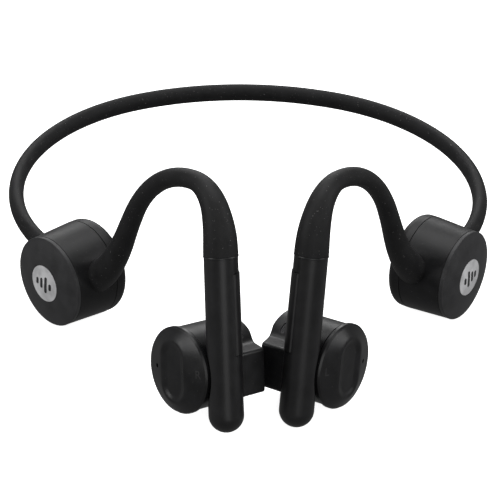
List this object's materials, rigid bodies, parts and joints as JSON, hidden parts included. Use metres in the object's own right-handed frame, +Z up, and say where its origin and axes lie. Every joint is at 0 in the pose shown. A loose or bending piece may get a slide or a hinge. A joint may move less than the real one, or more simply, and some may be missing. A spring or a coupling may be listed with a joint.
{
  "type": "bone conduction headphones",
  "caption": "Behind-the-neck bone conduction headphones: sprung neckband, round rear pods, rubber ear hooks, and stems with round transducer drums and press keys.",
  "frame": {"origin": "on the surface it stands on, under the centre of its bounding box", "axes": "+Z up, -Y towards the front of the wearer's face, +X towards the wearer's left; the neckband loop lies nearly level"},
  "size_m": [0.1252, 0.1474, 0.0575],
  "materials": {
    "band_rubber": "matte",
    "hook_rubber": "matte",
    "seal_rubber": "matte",
    "pad_rubber": "matte",
    "cable_jacket": "satin",
    "spring_wire": "satin",
    "pod_plastic": "matte",
    "badge": "satin",
    "stem_plastic": "semi-gloss",
    "strip_plastic": "semi-gloss",
    "drum_plastic": "matte",
    "key_plastic": "satin",
    "light_pipe": "clear",
    "circuit_board": "satin",
    "chip_epoxy": "matte",
    "dome_steel": "satin",
    "yoke_iron": "satin",
    "magnet_plate": "polished",
    "coil_copper": "enamelled copper",
    "plate_steel": "satin",
    "mesh_metal": "matte",
    "capsule_metal": "satin",
    "ferrule_brass": "satin",
    "battery_wrap": "satin",
    "contact_gold": "polished"
  },
  "bodies": {
    "neckband": {"neckband_sleeve": "band_rubber", "neckband_wire": "spring_wire", "neckband_cable": "cable_jacket"},
    "left_arm": {"left_battery": "battery_wrap", "left_clasp_magnet": "magnet_plate", "left_drum_housing": "drum_plastic", "left_hook_cable": "cable_jacket", "left_hook_sleeve": "hook_rubber", "left_hook_wire": "spring_wire", "left_key_board": "circuit_board", "left_key_dome": "dome_steel", "left_light_pipe": "light_pipe", "left_microphone": "capsule_metal", "left_microphone_mesh": "mesh_metal", "left_pod_badge": "badge", "left_pod_cap": "pod_plastic", "left_pod_cover": "pod_plastic", "left_pod_gasket": "seal_rubber", "left_pod_housing": "pod_plastic", "left_stem_board": "circuit_board", "left_stem_housing": "stem_plastic", "left_stem_strip": "strip_plastic", "left_transducer_magnet": "magnet_plate", "left_transducer_yoke": "yoke_iron", "left_wire_ferrule": "ferrule_brass"},
    "left_key": {"left_key_cap": "key_plastic"},
    "left_pad": {"left_contact_pad": "pad_rubber", "left_vibration_plate": "plate_steel", "left_voice_coil": "coil_copper"},
    "right_arm": {"right_board_chips": "chip_epoxy", "right_charging_contacts": "contact_gold", "right_clasp_magnet": "magnet_plate", "right_drum_housing": "drum_plastic", "right_hook_cable": "cable_jacket", "right_hook_sleeve": "hook_rubber", "right_hook_wire": "spring_wire", "right_key_board": "circuit_board", "right_key_dome": "dome_steel", "right_light_pipe": "light_pipe", "right_main_board": "circuit_board", "right_microphone": "capsule_metal", "right_microphone_mesh": "mesh_metal", "right_pod_badge": "badge", "right_pod_cap": "pod_plastic", "right_pod_cover": "pod_plastic", "right_pod_gasket": "seal_rubber", "right_pod_housing": "pod_plastic", "right_stem_board": "circuit_board", "right_stem_housing": "stem_plastic", "right_stem_strip": "strip_plastic", "right_transducer_magnet": "magnet_plate", "right_transducer_yoke": "yoke_iron", "right_wire_ferrule": "ferrule_brass"},
    "right_key": {"right_key_cap": "key_plastic"},
    "right_pad": {"right_contact_pad": "pad_rubber", "right_vibration_plate": "plate_steel", "right_voice_coil": "coil_copper"}
  },
  "joints": [
    {"name": "arm_spread_left", "type": "hinge", "parent": "neckband", "child": "left_arm", "pos_m": [0.0584, 0.02575, 0.01946], "axis": [0, -0.048, 0.9988], "range_deg": [0, 35], "stiffness_Nm_per_rad": 0.2, "deforming": ["neckband_sleeve", "neckband_wire", "neckband_cable"]},
    {"name": "key_press_left", "type": "slide", "parent": "left_arm", "child": "left_key", "axis": [-0.7491, 0.6548, -0.1004], "range_m": [0, 0.0003], "stiffness_N_per_m": 2000},
    {"name": "pad_vibration_left", "type": "slide", "parent": "left_arm", "child": "left_pad", "axis": [-0.7491, 0.6548, -0.1004], "range_m": [-0.0001, 0.0001], "stiffness_N_per_m": 3500},
    {"name": "arm_spread_right", "type": "hinge", "parent": "neckband", "child": "right_arm", "pos_m": [-0.0584, 0.02575, 0.01946], "axis": [0, 0.048, -0.9988], "range_deg": [0, 35], "stiffness_Nm_per_rad": 0.2, "deforming": ["neckband_sleeve", "neckband_wire", "neckband_cable"]},
    {"name": "key_press_right", "type": "slide", "parent": "right_arm", "child": "right_key", "axis": [0.8016, 0.5787, -0.15], "range_m": [0, 0.0003], "stiffness_N_per_m": 2000},
    {"name": "pad_vibration_right", "type": "slide", "parent": "right_arm", "child": "right_pad", "axis": [0.8016, 0.5787, -0.15], "range_m": [-0.0001, 0.0001], "stiffness_N_per_m": 3500}
  ]
}
